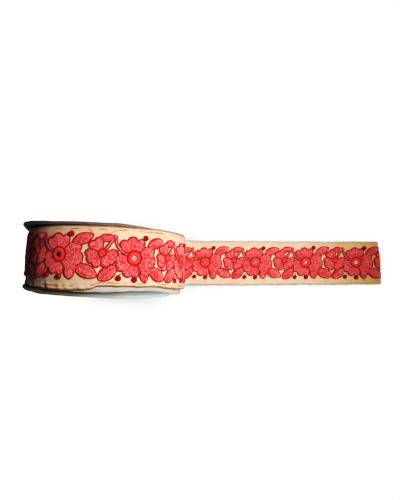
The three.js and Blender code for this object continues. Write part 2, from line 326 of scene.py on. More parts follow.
def makeSpoolCard(name, board):
    # Die-cut grey board with a paper face: satin faces, mottled and scuffed at the rim, and
    # a raw cut edge of its own tone. Near the rim, on the side away from the lamp, painted shade
    # darkens it in cloudy patches
    look = boardFace
    material, shader, add = startMaterial(name + "FacedBoard", look["surface"])
    wear, cut, paintedShadeSide = (add("Attribute", attribute_name=key)["Fac"] for key in ("wear", "cut", "paintedShadeSide"))
    place = add("TexCoord")["Object"]
    clouds = add("TexNoise", {0: place, "Scale": 1 / (look["cloud"] * mm), "Detail": 3.0})[0]
    fibres = add("TexNoise", {0: place, "Scale": 1 / (look["fibre"] * mm), "Detail": 4.0})[0]
    mottled = add("MapRange", (clouds, *look["mottled"]), **smooth)[0]
    scuffs = add("MapRange", (fibres, *look["scuffed"]), **smooth)[0]
    scuffed = add("Math", (wear, scuffs), operation="MULTIPLY")[0]
    # Painted shade, in cloudy patches near the rim, on the side away from the lamp
    shadePatches = add("MapRange", (clouds, *look["patchyShade"]), **smooth)[0]
    patchyShade = add("Math", (paintedShadeSide, shadePatches), operation="MULTIPLY")[0]
    colour = board["paper"]
    for share, layer in ((mottled, "mottle"), (scuffed, "scuff"), (cut, "core"), (patchyShade, "paintedShade")):
        colour = add("Mix", {0: share, 6: colour, 7: board[layer]}, **colours)[2]
    bump = add("Bump", {"Height": fibres, **look["bump"]})[0]
    setInputs(shader, {"Base Color": colour, "Normal": bump})
    return material


# Each thread's deeps, its shine, which is painted into the stitches' colours as highlight, and its roughness
threads = {
    "coral": ("#E63840", "#FFAEAA", 0.42),
    "crimson": ("#8A121C", "#C02832", 0.55),
    "scarlet": ("#E22A2E", "#FF7470", 0.40),
    "maroon": ("#8A0E1A", "#B81E30", 0.50),
}


def makeThread(name, deep, light, roughness):
    # Twisted rayon floss: each stitch its own tone, at random and with painted highlight, with a soft shine along
    # its back
    material, shader, add = startMaterial(name + "RayonFloss", {
        "Roughness": roughness, "Sheen Weight": 0.3, "Sheen Tint": light, "Specular IOR Level": 0.5})
    tone = add("Attribute", attribute_name="tone")["Fac"]
    setInputs(shader, {"Base Color": add("Mix", {0: tone, 6: deep, 7: light}, **colours)[2]})
    return material


silver = {
    "clear": "#CFCCC4",
    "clouded": "#8E867A",
    "cloud": 1.4,
    "cloudRange": (0.4, 0.7),
    "roughRange": (0.4, 0.75, 0.12, 0.35),
    "bump": {"Strength": 0.2, "Distance": 0.1 * mm},
}


def makeSilveredGlass():
    # Thin silvered glass, hand cut: a cool mirror with a clouded, faintly uneven face
    look = silver
    material, shader, add = startMaterial("silveredGlass", {"Metallic": 1.0})
    place = add("TexCoord")["Object"]
    clouds = add("TexNoise", {0: place, "Scale": 1 / (look["cloud"] * mm), "Detail": 3.0})[0]
    share = add("MapRange", (clouds, *look["cloudRange"]), **smooth)[0]
    colour = add("Mix", {0: share, 6: look["clear"], 7: look["clouded"]}, **colours)[2]
    rough = add("MapRange", (clouds, *look["roughRange"]), **smooth)[0]
    bump = add("Bump", {"Height": clouds, **look["bump"]})[0]
    setInputs(shader, {"Base Color": colour, "Roughness": rough, "Normal": bump})
    return material


clothMaterial = makeCottonSilk("slubbedCottonSilk", cottonSilk["body"], cottonSilk["slub"])
turnsMaterial = makeCottonSilk("paintedLightCottonSilk", "#E4D7C8", "#CCBBA6")  # painted light: paler than the outer turn, lightened against the shade that it casts on them
cardMaterials = {name: makeSpoolCard(name, board) for name, board in boards.items()}
threadMaterials = [makeThread(name, *look) for name, look in threads.items()]
fill, outline, ringFinish, berryFinish = range(len(threads))
glassMaterial = makeSilveredGlass()
print("materials made")


# Meshes
def addPiece(name, mesh, materials, replaced):
    piece = bpy.data.objects.new(name, mesh)
    scene.collection.objects.link(piece)
    for material in materials:
        mesh.materials.append(material)
    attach(piece, "root")
    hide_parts(*replaced)
    return piece


def asMesh(name, form):
    mesh = bpy.data.meshes.new(name)
    form.to_mesh(mesh)
    form.free()
    mesh.shade_smooth()
    return mesh


def moveTo(form, points):
    for vert, point in zip(form.verts, points):
        vert.co = point


def corners(form):
    return np.array([vert.co[:] for vert in form.verts])


def flatGrid(rows, columns):
    # With each corner's place along it and across it, from -1 to 1
    form = bmesh.new()
    bmesh.ops.create_grid(form, x_segments=rows, y_segments=columns, size=1)
    return form, *corners(form)[:, :2].T


def spun(profile, steps):
    # A profile of distances from the axis and heights, turned once about Z
    form = bmesh.new()
    verts = [form.verts.new((radius, 0, height)) for radius, height in profile]
    edges = [form.edges.new(pair) for pair in zip(verts, verts[1:])]
    if profile[0][0] > 0:
        edges.append(form.edges.new((verts[-1], verts[0])))
    bmesh.ops.spin(form, geom=verts + edges, cent=(0, 0, 0), axis=(0, 0, 1), angle=2 * math.pi,
                   steps=steps, use_merge=True)
    bmesh.ops.remove_doubles(form, verts=form.verts[:], dist=1e-5)
    bmesh.ops.recalc_face_normals(form, faces=form.faces[:])
    return form


# Cloth: the outer turn and the loose end are one fine sheet, and the turns inside are another
cloth = {
    "rows": 640, "columns": 44,
    "closer": 0.35,  # by which the columns draw closer at the edges
    "tucked": 8.0,  # of the outer turn, further than it shows
    "askewOver": 60.0,
    "sink": 0.4,  # of the plain margins beside the stitched band
    "pucker": 0.42, "rollPucker": 0.6,
    "puckerShape": (1.3, 0.5),  # its slope beside the band, and how much of that it loses
    "puckers": ((9.3, 0.50, 0.4), (6.1, 0.34, 2.1), (14.7, 0.42, 4.0), (4.1, 0.16, 1.2), (37.0, 0.3, 0.6)),
    "backLater": 31.0,  # so that the two margins pucker each in its own way
    "slant": 0.55,
    "edgeWave": ((21.0, 0.14, 0.3), (8.7, 0.10, 1.9), (53.0, 0.15, 2.7)),
    "backWave": 0.6,
    "creaseDepth": 0.22, "creaseWidth": 0.55,
    "creaseSway": (7.0, 0.5),  # over what length it deepens and fades, and by how much
    "deepest": -0.2,  # so that it doesn't sink into what it lies on
    "hem": (0.25, 1.2, 0.8),  # its height, how far in it lies, and its width
    "round": (0.35, 0.35),  # how low its edges are rounded off, and over what width
    "flare": 2.2,  # of the front half out from the roll where it drops
    "flareAt": 150.0, "flareSpread": 48.0,
}
# How far its edges are from the line of flowers, by the distance along it
frontHalves = (
    (-320, 25.2), (-140, 25.2), (-80, 27.0), (-45, 28.3), (-27, 28.7), (-12, 28.2), (1, 27.3), (5, 26.5),
    (10.5, 24.4), (20, 23.8), (40, 23.4), (62, 23.2), (77, 24.7), (100, 25.3), (140, 25.4), (230, 26.6),
    (360, 25.9), (460, 25.0))
backHalves = (
    (-320, 24.4), (-140, 24.0), (-75, 22.2), (-35, 23.4), (-15, 24.0), (10, 24.3), (33, 24.9), (42, 25.3),
    (60, 25.9), (88, 25.7), (112, 25.0), (160, 24.9), (225, 24.4), (360, 23.9), (460, 24.1))
# The end is cut a little askew
cutEnd = ((-26, 1.2), (0, 0.3), (26, -3.6))


def edgeHalves(s):
    fine = ripple(s, cloth["edgeWave"])
    return between(frontHalves, s) + fine, between(backHalves, s) - cloth["backWave"] * fine


def clothLift(s, v):
    past = np.abs(v) - trim["bandHalf"]
    t = np.clip(past / (trim["halfWidth"] - trim["bandHalf"]), 0, 1)
    later = np.where(v > 0, cloth["backLater"], 0.0)
    pucker = ripple(s + later + cloth["slant"] * past * np.sign(v), cloth["puckers"])
    height = cloth["pucker"] + (cloth["rollPucker"] - cloth["pucker"]) * (1 - easeOff(s))
    first, fall = cloth["puckerShape"]
    lift = -cloth["sink"] * np.sin(math.pi * t) ** 2 + height * pucker * t * (first - fall * t)
    crease = np.exp(-((np.abs(v) - trim["creaseAt"]) / cloth["creaseWidth"]) ** 2)
    length, sway = cloth["creaseSway"]
    lift -= cloth["creaseDepth"] * crease * (1 + sway * np.sin(s / length))
    flare = np.exp(-((s - cloth["flareAt"]) / cloth["flareSpread"]) ** 2)
    out = cloth["flare"] * flare * np.clip(-v / trim["halfWidth"], 0, 1)
    return np.maximum(lift, cloth["deepest"]) + out


def finishSheet(name, form, planned, material, replaced):
    layer = form.loops.layers.uv.new("trimPlan")
    for face in form.faces:
        for loop in face.loops:
            loop[layer].uv = planned[loop.vert.index]
    piece = addPiece(name, asMesh(name, form), [material], replaced)
    solid = piece.modifiers.new("thickness", "SOLIDIFY")
    solid.thickness = trim["thickness"] * mm
    solid.offset = -1
    return piece


def makeTrimCloth():
    form, along, across = flatGrid(cloth["rows"], cloth["columns"])
    share = np.sin(across * math.pi / 2) * cloth["closer"] + across * (1 - cloth["closer"])
    length = endAt - faceStart + cloth["tucked"]
    s = endAt - length + (along + 1) / 2 * length
    nearEnd = np.clip((s - endAt) / cloth["askewOver"] + 1, 0, 1)
    s = s + between(cutEnd, share * trim["halfWidth"]) * nearEnd ** 2
    front, back = edgeHalves(s)
    v = share * np.where(share < 0, front, back)
    toEdge = np.minimum(v + front, back - v)
    height, inwards, width = cloth["hem"]
    hem = height * np.exp(-((toEdge - inwards) / width) ** 2)
    depth, reach = cloth["round"]
    moveTo(form, trimPoints(s, v, clothLift(s, v) + hem - depth * np.exp(-toEdge / reach)))
    planned = np.column_stack([s, share * trim["halfWidth"]]) * mm
    piece = finishSheet("trimCloth", form, planned, clothMaterial, ["loose_end"])


turns = {
    "rowsPerTurn": 84,
    "columns": 6,
    "halfWidth": 24.9,
    "planHalf": 21.0,  # short of the crease, so that the painted shade of crease and edges stays off its own edges
    "innerRadius": 16.2,
    "sway": ((1.9, 0.22, 0.2), (3.1, 0.2, 1.4), (0.83, 0.14, 2.2), (0.21, 0.12, 0.5), (0.13, 0.1, 1.1)),  # by turns
    "room": (30.0, 30.0, 0.2),  # to sway: from what radius, over how much, and the least of it
    "shiftOver": math.radians(15),  # where the last of them moves over to meet the outer turn
    "reach": (52.0, 15.0),  # the radius past which the edges below follow, and over how much
}
# How far in the front edge of the turns lies, by the degree round the roll from its top
frontEdgeIn = (
    (-180, 0), (-60, -0.6), (-16, -1.4), (-4, -1.2), (9, -0.6), (16, -0.1), (23, 0.6), (30, 1.1), (43, 1.4),
    (52, 1.3), (58, 0.2), (70, -1.6), (82, -2.0), (110, -0.6), (180, 0))


def makeWoundTurns():
    count = (trim["rollRadius"] - trim["turn"] - turns["innerRadius"]) / trim["turn"]
    last = trim["peelAngle"] - 2 * math.pi
    form, along, across = flatGrid(round(count * turns["rowsPerTurn"]), turns["columns"])
    angle = last - (1 - along) / 2 * count * 2 * math.pi
    radius = trim["rollRadius"] + growth * (angle - trim["peelAngle"])
    roomFrom, roomOver, leastRoom = turns["room"]
    room = np.clip((radius - roomFrom) / roomOver, leastRoom, 1)
    apart = 1 - eased(1 - (last - angle) / turns["shiftOver"])
    inwards = between(frontEdgeIn, np.degrees((angle + math.pi) % (2 * math.pi) - math.pi))
    reachFrom, reachOver = turns["reach"]
    inwards = inwards * np.clip((radius - reachFrom) / reachOver, 0, 1) * np.clip(-across, 0, 1) ** 2
    sway = ripple(angle / (2 * math.pi), turns["sway"]) * room
    y = across * turns["halfWidth"] + apart * (spool["middle"] + sway + inwards)
    points = np.stack([radius * np.sin(angle), y, axisHeight + radius * np.cos(angle)], axis=-1)
    moveTo(form, toFrame(points))
    planned = np.column_stack([radius * (angle - last), across * turns["planHalf"]]) * mm
    piece = finishSheet("woundTurns", form, planned, turnsMaterial, ["wound_roll"])


makeTrimCloth()
makeWoundTurns()
print("cloth made")


# Card discs
discs = {
    "steps": 288,
    "radii": (22, 31, 40, 47, 53, 59, 63, 66, 69, 71.5, 74),
    "round": 0.35,
    "bendFrom": 66.0,  # the radius past which the rims are bent
    "bendShare": 0.55,
    "bow": 1.5, "rimBow": 1.1,  # powers, straight at 1
    "dents": ((13, 0.05, 1.7), (29, 0.04, 2.9)),  # how many go round, their depth and start
    "wear": (74.5, 2.2, 0.9),  # from what radius, over how much, and how strong at the most
    "paintedShade": (58.0, 8.0),  # of the painted shade: from what radius, and over how much
}
# The rims are pressed in and worn, and bent where the trim has been drawn off over them.
# By the degree round from the top: how far out the outer face stands at the rim, how far in
# the card is pressed where it bends, how far out the rim reaches, and how much painted shade
# darkens it, most on the side away from the lamp
backDisc = {
    "board": "dark",
    "rim": ((-180, 28.6), (-125, 27.6), (-88, 24.2), (-70, 27.2), (-54, 27.8), (-46, 27.6), (-33, 26.9), (-20, 26.3),
            (-5, 26.4), (8, 26.5), (19, 27.0), (31, 26.4), (45, 26.1), (90, 26.3), (130, 27.6), (180, 28.6)),
    "pressed": ((-180, 0), (-120, 0), (-75, 1.2), (-30, 0.8), (20, 0.6), (60, 1.0), (110, 0.4), (180, 0)),
    "reach": ((-180, 0), (-110, 0.2), (-68, 1.2), (-40, 0.2), (0, 0), (25, -0.2), (44, -3.9), (100, -4.0), (135, 0),
              (180, 0)),
    # painted shade by the degree: most on the left, away from the lamp
    "paintedShadeSide": ((-180, 0.1), (-120, 0.6), (-60, 0.9), (-25, 0.5), (12, 0.2), (30, 0.0), (180, 0.1)),
}
frontDisc = {
    "board": "pale",
    "rim": ((-180, -32.4), (-125, -32.2), (-88, -28.6), (-62, -29.6), (-41, -31.3), (-28, -32.6), (16, -32.7),
            (28, -32.2), (41, -31.5), (53, -30.9), (64, -30.2), (90, -30.0), (130, -32.4), (180, -32.4)),
    "pressed": ((-180, 0), (-120, 0), (-80, 0.9), (-40, 0.2), (0, 0.4), (14, 1.6), (28, 2.6), (52, 2.9), (70, 1.8),
                (110, 0.2), (180, 0)),
    "reach": ((-180, 0), (-110, -0.6), (-68, -2.2), (-40, -0.4), (0, 0), (52, 0), (68, -5.0), (100, -5.0), (135, 0),
              (180, 0)),
    # painted shade by the degree: most on the left, away from the lamp
    "paintedShadeSide": ((-180, 0.1), (-120, 0.7), (-55, 1.0), (-8, 0.75), (12, 0.3), (28, 0.0), (180, 0.1)),
}


def makeDisc(name, side, disc, replaced):
    card, edge, bendFrom = spool["card"], discs["round"], discs["bendFrom"]
    radii = [spool["hole"] + edge, *discs["radii"], spool["radius"] - edge]
    inner = [(radius, 0) for radius in radii]
    outer = [(radius, card) for radius in reversed(radii)]
    rim = [(spool["radius"], edge), (spool["radius"], card - edge)]
    bore = [(spool["hole"], card - edge), (spool["hole"], edge)]
    form = spun(inner + rim + outer + bore, discs["steps"])
    x, y, height = corners(form).T
    radius, angle = np.hypot(x, y), np.arctan2(x, y)
    degrees = np.degrees(angle)
    dent = sum(size * np.cos(count * angle + start) for count, size, start in discs["dents"])
    hub = spool["middle"] + side * spool["hubHalfGap"]
    bent = between(disc["rim"], degrees) + side * (dent - card)
    pressed = hub + discs["bendShare"] * (bent - hub) - side * between(disc["pressed"], degrees)
    first = np.clip((radius - spool["hubRadius"]) / (bendFrom - spool["hubRadius"]), 0, 1) ** discs["bow"]
    second = np.clip((radius - bendFrom) / (spool["radius"] - bendFrom), 0, 1)
    y = hub + (pressed - hub) * first + (bent - pressed) * second ** discs["rimBow"] + side * height
    reach = radius + between(disc["reach"], degrees) * second ** discs["bow"]
    z = np.maximum(-axisHeight, reach * np.cos(angle))
    moveTo(form, toFrame(np.stack([reach * np.sin(angle), y, axisHeight + z], axis=-1)))
    bmesh.ops.recalc_face_normals(form, faces=form.faces[:])
    mesh = asMesh(name, form)
    wornFrom, wornOver, most = discs["wear"]
    # Painted shade near the rim, by the degree round
    paintedShadeFrom, paintedShadeOver = discs["paintedShade"]
    shares = {
        "wear": np.clip((radius - wornFrom) / wornOver, 0, 1) * most,
        "cut": (radius > spool["radius"] - edge / 2) | (radius < spool["hole"] + edge / 2),
        "paintedShadeSide": between(disc["paintedShadeSide"], degrees) * np.clip((radius - paintedShadeFrom) / paintedShadeOver, 0, 1),
    }
    for key, values in shares.items():
        mesh.attributes.new(key, "FLOAT", "POINT").data.foreach_set("value", values.astype(np.float32))
    addPiece(name, mesh, [cardMaterials[disc["board"]]], replaced)


makeDisc("discBack", 1, backDisc, ["card_disc_back"])
makeDisc("discFront", -1, frontDisc, ["card_disc_front"])
print("discs made")


# Stitching. A motif is charted flat, with u along the trim from its large flower's middle and
# v towards the back, and its stitches are stamped copies of a few small forms.
stitch = {
    "sides": 4,
    "padSides": (36, 84),
    "strand": 0.72,  # of a chain stitch's two strands
    "strandHeight": 0.8,
    "apart": 0.46,
    "spread": 0.16,
    "length": 2.3,
    "step": 1.9,
    "pitch": 1.45,
    "toneNoise": 0.14, "turnNoise": 0.04,
    "cordStep": 1.0, "cordLength": 1.8, "cordWidth": 0.9, "cordHeight": 0.95, "cordTwist": 0.38, "cordDip": 0.15,
    "base": 0.1,  # of the padding over the cloth's face
    "underlay": 0.12,  # how far its top lies under the middle of the stitches
}


def asArrays(form):
    bmesh.ops.triangulate(form, faces=form.faces[:])
    form.verts.index_update()
    points = corners(form)
    faces = np.array([[vert.index for vert in face.verts] for face in form.faces])
    form.free()
    return points, faces


def grainForm(sides):
    form = bmesh.new()
    bmesh.ops.create_uvsphere(form, u_segments=sides, v_segments=sides, radius=1)
    bmesh.ops.rotate(form, verts=form.verts[:], matrix=Matrix.Rotation(math.pi / 2, 3, "Y"))
    return asArrays(form)


grainPoints, grainFaces = grainForm(stitch["sides"])
# The padding's profile: how far out, and its share of the height there
domeShares = [(0.4, 1.0), (0.75, 0.97), (0.93, 0.8), (1.0, 0.45), (1.0, 0.0)]
discSides, ringSides = stitch["padSides"]
discPad = asArrays(spun([(0, 1)] + domeShares + [(0, 0)], discSides))
ringPad = asArrays(spun([(1, 1)] + [(1 + q, h) for q, h in domeShares] + [(1, 0)], ringSides))


def addGrains(work, finish, u, v, level, heading, length, width, height, tone=0.5, dip=0.3):
    rows = np.broadcast_arrays(*np.atleast_1d(u, v, level, heading, length, width, height, tone, dip))
    rows = np.stack(rows, axis=-1).astype(float)
    rows[:, 7] = np.clip(rows[:, 7] + rng.normal(0, stitch["toneNoise"], len(rows)), 0, 1)
    rows[:, 3] += rng.normal(0, stitch["turnNoise"], len(rows))
    work["grains"].append((finish, rows))


def addChain(work, finish, u, v, level, heading, length, tone=0.55):
    for side in (-1, 1):
        off = side * stitch["strand"] * stitch["apart"]
        addGrains(work, finish, u - off * np.sin(heading), v + off * np.cos(heading), level,
                  heading + side * stitch["spread"], length, stitch["strand"], stitch["strandHeight"], tone)


def alongPath(path, step, closed=False):
    # Even places along a path, and which way it heads at each
    path = np.asarray(path, float)
    if closed:
        path = np.vstack([path, path[:1]])
    legs = np.hypot(*np.diff(path, axis=0).T)
    distance = np.concatenate([[0], np.cumsum(legs)])
    count = max(1, round(distance[-1] / step))
    at = (np.arange(count) + 0.5) / count * distance[-1]
    u, v = np.interp(at, distance, path[:, 0]), np.interp(at, distance, path[:, 1])
    nearby = step / 2
    du = np.interp(at + nearby, distance, path[:, 0]) - np.interp(at - nearby, distance, path[:, 0])
    dv = np.interp(at + nearby, distance, path[:, 1]) - np.interp(at - nearby, distance, path[:, 1])
    return u, v, np.arctan2(dv, du)


def addCord(work, path, level=0.62, closed=False, finish=outline, scale=1.0, tone=0.5):
    u, v, heading = alongPath(path, stitch["cordStep"] * scale, closed)
    addGrains(work, finish, u, v, level, heading + stitch["cordTwist"], stitch["cordLength"] * scale,
              stitch["cordWidth"] * scale, stitch["cordHeight"] * scale, tone, stitch["cordDip"])


def addPad(work, finish, form, u, v, level):
    # u, v and level for each of the form's points
    points = np.stack(np.broadcast_arrays(u, v, level), axis=-1)
    work["pads"].append((finish, points, form[1]))


def around(count):
    return np.linspace(0, 2 * math.pi, count, endpoint=False)


def circle(u, v, radius, angle=around(48)):
    return np.column_stack([u + radius * np.cos(angle), v + radius * np.sin(angle)])


# Each petal has the degree at which it starts, going round anticlockwise, its lobes and its reach
largeFlower = {
    "u": 0.0, "v": 0.0, "eye": 5.9, "dip": 2.9, "gap": 0.36, "padFrom": 2.7,
    "petals": ((46, 3, 17.2), (149, 1, 8.4), (166, 4, 16.7), (297, 3, 20.0)),
}
smallFlower = {
    "u": 34.0 - trim["repeat"], "v": 2.5, "eye": 3.0, "dip": 1.5, "gap": 0.3, "padFrom": 0.0,
    "petals": ((84, 2, 12.9), (160, 3, 12.8), (266, 3, 12.4), (384, 1, 4.4)),
}
petals = {
    "square": 7, "notch": 1.6, "level": 0.5, "rise": 0.42,
    "bands": 8,  # of chain stitches, each pointing out from the middle
    "clear": 0.6,  # of the eye, and of the outline
    "overlap": 0.2, "fewer": 0.4, "shortest": 0.9, "toSide": 0.55,
    "tone": (0.3, 0.26),  # by the eye, and how much lighter it gets further out, as painted highlight
    # painted highlight in streaks round each flower
    "streaks": (23, 57), "streakTone": 0.15, "toneNoise": 0.08,
    "outline": 240, "vein": 8,
}


def acrossPetal(flower, angle):
    # The petal that lies that way, and how far across it, from -1 to 1
    starts = np.array(flower["petals"])[:, 0]
    first, starts = starts[0], starts - starts[0]
    arcs = np.diff(np.append(starts, 360))
    turned = (np.degrees(angle) - first) % 360
    which = np.searchsorted(starts, turned, side="right") - 1
    return which, 2 * (turned - starts[which]) / arcs[which] - 1


def petalReach(flower, angle):
    which, t = acrossPetal(flower, angle)
    lobes, reach = np.array(flower["petals"])[which, 1:].T
    lobe = np.abs(np.cos(math.pi / 2 * (lobes * t + 1 - lobes % 2)))
    fall = np.abs(t) ** petals["square"]
    return reach * (1 - flower["gap"] * fall) - flower["dip"] * (1 - lobe) ** petals["notch"] * (1 - fall)


def petalLevel(flower, away, angle):
    q = np.clip((away - flower["eye"]) / (petalReach(flower, angle) - flower["eye"]), 0, 1)
    t = acrossPetal(flower, angle)[1]
    return petals["level"] + petals["rise"] * (1 - t ** 4) * (1 - q ** 4)


def addFlower(work, flower):
    eye, clear, overlap, step = flower["eye"], petals["clear"], petals["overlap"], stitch["step"]
    starts = np.radians(flower["petals"])[:, 0]
    arcs = np.diff(np.append(starts, starts[0] + 2 * math.pi))
    place = partial(circle, flower["u"], flower["v"])

    # Padding under the petals
    padFrom = flower["padFrom"]
    form = ringPad if padFrom else discPad
    x, y, share = form[0].T
    radius, angle = np.hypot(x, y), np.arctan2(y, x)
    q = radius - 1 if padFrom else radius
    away = padFrom + q * (petalReach(flower, angle) - padFrom)
    top = petalLevel(flower, away, angle) - stitch["underlay"]
    addPad(work, fill, form, *place(away, angle).T, stitch["base"] + share * (top - stitch["base"]))

    for start, arc in zip(starts, arcs):
        streaks = rng.uniform(0, 2 * math.pi, 2)
        for band in range(petals["bands"]):
            middle = eye + clear + (band + 0.5) * step
            count = max(2, round(arc * middle / stitch["pitch"] - petals["fewer"]))
            t = ((np.arange(count) + 0.5) / count * 2 - 1) * (1 - petals["toSide"] / (middle * arc / 2))
            angle = start + (1 + t) / 2 * arc
            low = np.full(count, middle - step / 2 - overlap)
            high = np.minimum(middle + step / 2 + overlap, petalReach(flower, angle) - clear)
            shown = high - low > petals["shortest"]
            angle, low, high = angle[shown], low[shown], high[shown]
            away = (low + high) / 2
            # Each stitch's tone: painted highlight, lighter further out and in streaks, with tone at random
            atEye, lighter = petals["tone"]
            tone = atEye + lighter * (away - eye) / (petalReach(flower, angle) - eye)
            for waves, shift in zip(petals["streaks"], streaks):
                tone = tone + petals["streakTone"] * np.sin(waves * angle + shift)
            tone = tone + rng.normal(0, petals["toneNoise"], len(tone))
            level = petalLevel(flower, away, angle)
            addChain(work, fill, *place(away, angle).T, level, angle + math.pi, high - low, tone)

    # Outline cords round the petals, and between them
    angle = around(petals["outline"])
    addCord(work, place(petalReach(flower, angle), angle), closed=True)
    for angle in starts:
        away = np.linspace(eye + clear, petalReach(flower, angle) + overlap, petals["vein"])
        addCord(work, place(away, angle))


# Rounds of stitches, each with its radius, length, count and level, and then cords, each with
# its radius, level, finish, scale and tone
mirrorRing = {
    "width": 0.78, "height": 1.05, "dip": 0.35,
    "rounds": ((3.725, 3.55, 44, 1.05),),
    "cords": ((6.0, 0.95, outline, 1.0, 0.5), (2.3, 1.15, ringFinish, 0.7, 0.15)),
}
smallEye = {
    "width": 0.8, "height": 0.8, "dip": 0.3,
    "rounds": ((2.0, 1.9, 18, 1.15), (0.75, 1.6, 7, 1.35)),
    "cords": ((3.1, 0.95, outline, 0.85, 0.5),),
}
eyeTone = 0.6


def addEye(work, flower, eye):
    u, v = flower["u"], flower["v"]
    for radius, length, count, level in eye["rounds"]:
        angle = around(count)
        addGrains(work, ringFinish, *circle(u, v, radius, angle).T, level, angle, length,
                  eye["width"], eye["height"], eyeTone, eye["dip"])
    for radius, level, finish, scale, tone in eye["cords"]:
        addCord(work, circle(u, v, radius), level, True, finish, scale, tone)


leaves = [
    {"u": 19.3, "v": 13.4, "length": 16.6, "width": 8.8, "tilt": 24},
    {"u": 22.6, "v": -12.9, "length": 18.2, "width": 10.6, "tilt": -25},
    {"u": -20.0, "v": -12.9, "length": 17.2, "width": 10.2, "tilt": 40},
    {"u": -21.4, "v": 14.9, "length": 11.2, "width": 6.0, "tilt": 4},
    {"u": 9.7, "v": -14.6, "length": 9.8, "width": 7.8, "tilt": -78},
]
leafShape = {
    "point": 0.22, "skew": 0.12, "level": 0.5, "rise": 0.45, "dome": 0.7,
    "fill": (0.9, 0.92),  # the shares of its length and width for which chains are counted
    "inset": (0.93, 0.86),  # and those that they reach
    "narrow": (0.62, 0.3),  # where every other chain stops short, and where the others do
    "tone": 0.36, "rowNoise": 0.14, "toneNoise": 0.12, "tipTone": 0.12,
    "outline": 60, "ahead": 0.02,
}


def addLeaf(work, leaf):
    cos, sin = math.cos(math.radians(leaf["tilt"])), math.sin(math.radians(leaf["tilt"]))

    def place(x, y):
        belly = np.maximum(1 - x * x, 1e-6) ** leafShape["point"] * (1 - leafShape["skew"] * x)
        a, b = x * leaf["length"] / 2, y * leaf["width"] / 2 * belly
        return leaf["u"] + a * cos - b * sin, leaf["v"] + a * sin + b * cos

    def level(x, y):
        return leafShape["level"] + leafShape["rise"] * np.clip(1 - x * x - y * y, 0, 1) ** leafShape["dome"]

    x, y, share = discPad[0].T
    height = level(x, y) - stitch["underlay"] - stitch["base"]
    addPad(work, fill, discPad, *place(x, y), stitch["base"] + share * height)

    filledAlong, filledAcross = leafShape["fill"]
    insetAlong, insetAcross = leafShape["inset"]
    rows = max(3, round(leaf["width"] * filledAcross / stitch["pitch"]))
    steps = max(3, round(leaf["length"] * filledAlong / stitch["step"]))
    for row in range(rows):
        share = ((row + 0.5) / rows * 2 - 1) * insetAcross
        x = ((np.arange(steps) + 0.5 + 0.5 * (row % 2 - 0.5)) / steps * 2 - 1) * insetAlong
        narrow = np.sqrt(np.clip(1 - x * x, 0, 1))
        shown = narrow > leafShape["narrow"][1 - row % 2]
        x, y = x[shown], (share * narrow)[shown]
        u, v = place(x, y)
        ahead = x + leafShape["ahead"]
        nextU, nextV = place(ahead, share * np.sqrt(np.clip(1 - ahead ** 2, 0, 1)))
        heading = np.arctan2(nextV - v, nextU - u)
        tone = leafShape["tone"] + rng.normal(0, leafShape["rowNoise"]) + leafShape["tipTone"] * x
        tone = tone + rng.normal(0, leafShape["toneNoise"], len(x))
        addChain(work, fill, u, v, level(x, y), heading, stitch["length"], tone)

    angle = around(leafShape["outline"])
    addCord(work, np.column_stack(place(np.cos(angle), np.sin(angle))), closed=True)


# Forked stems, from their tips down to the flowers
stems = [
    [(-15.2, 17.2), (-17.0, 13.9), (-19.2, 10.6), (-21.2, 7.4), (-22.8, 5.2)],
    [(-15.4, 17.2), (-15.0, 12.6), (-13.4, 8.6), (-10.6, 5.2), (-6.8, 2.6)],
]
stemShape = {"width": 2.3, "tip": 0.75, "cordLevel": 0.55, "level": 0.6, "step": 1.5, "length": 2.1}


def addStem(work, path):
    path = np.asarray(path, float)
    away = np.gradient(path, axis=0)
    away /= np.hypot(*away.T)[:, None]
    normal = np.column_stack([-away[:, 1], away[:, 0]])
    taper = np.linspace(stemShape["tip"], 1.0, len(path))[:, None]
    for side in (-1, 1):
        addCord(work, path + normal * side * stemShape["width"] / 2 * taper, stemShape["cordLevel"])
    u, v, heading = alongPath(path, stemShape["step"])
    addChain(work, fill, u, v, stemShape["level"], heading, stemShape["length"])


berries = [
    {"u": 9.4, "v": 16.6, "across": 4.8, "stem": [(8.6, 14.4), (7.9, 11.6)]},
    {"u": -12.0, "v": -17.1, "across": 4.8, "stem": [(-11.6, -15.0), (-10.2, -13.0)]},
    {"u": 0.8, "v": -17.5, "across": 5.0, "stem": [(2.2, -15.6), (4.6, -14.2)]},
]
berryShape = {
    "level": 0.5, "rise": 0.5,
    "stitches": 6, "across": 0.8, "width": 0.85, "height": 0.8, "dip": 0.8,
    "over": (0.7, 0.45),  # the level of the outer stitches, and how much higher the middle ones lie
    "stem": (0.35, 0.8),  # its cord's level and scale
}


def addBerry(work, berry):
    radius = berry["across"] / 2
    x, y, share = discPad[0].T
    top = berryShape["level"] + berryShape["rise"] * np.clip(1 - x * x - y * y, 0, 1)
    level = stitch["base"] + share * top
    addPad(work, berryFinish, discPad, berry["u"] + x * radius, berry["v"] + y * radius, level)
    offsets = np.linspace(-1, 1, berryShape["stitches"]) * berryShape["across"]
    low, rise = berryShape["over"]
    addGrains(work, berryFinish, berry["u"] + offsets * radius, berry["v"], low + rise * (1 - offsets ** 2),
              math.pi / 2, 2 * radius * np.sqrt(1 - offsets ** 2), berryShape["width"], berryShape["height"],
              dip=berryShape["dip"])
    level, scale = berryShape["stem"]
    addCord(work, berry["stem"], level, scale=scale)


shifts = {"place": 0.22, "tilt": 2.0}


def shifted(shape):
    # One repeat differs a little from the next, as machine stitching drawn in by its tension does
    moved = dict(shape)
    moved["u"] += rng.normal(0, shifts["place"])
    moved["v"] += rng.normal(0, shifts["place"])
    if "tilt" in moved:
        moved["tilt"] += rng.normal(0, shifts["tilt"])
    return moved


